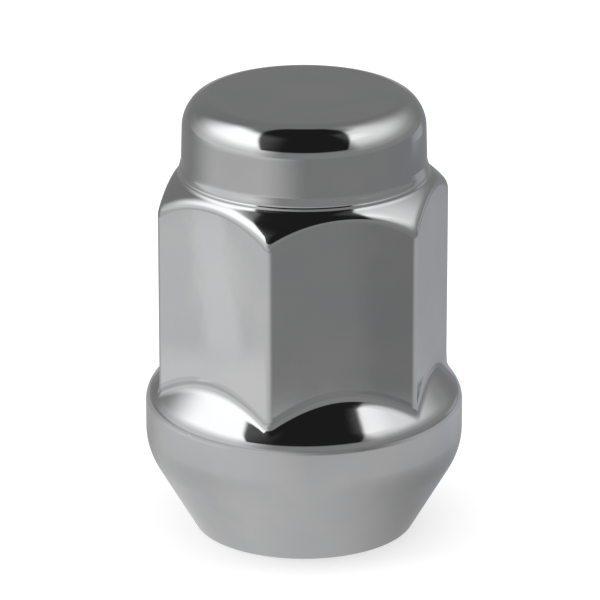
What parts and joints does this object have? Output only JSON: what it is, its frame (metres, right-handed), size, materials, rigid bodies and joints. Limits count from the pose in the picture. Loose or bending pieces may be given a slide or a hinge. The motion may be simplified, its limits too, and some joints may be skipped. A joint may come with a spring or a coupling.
{
  "type": "lug nut",
  "caption": "Closed-end hexagonal wheel nut with a domed top, a bulged flange and a conical seat around a blind threaded hole.",
  "frame": {"origin": "centre of the flat ring at the seat end, on the thread's axis", "axes": "+Z along the thread's axis from the seat end to the dome, -Y square to one flat of the hexagon"},
  "size_m": [0.025, 0.025, 0.0354],
  "materials": {
    "chrome_plated_steel": "bright decorative chrome plating over cold-forged steel, with a dull bare thread inside"
  },
  "bodies": {
    "root": {"lug_nut": "chrome_plated_steel"}
  },
  "joints": []
}
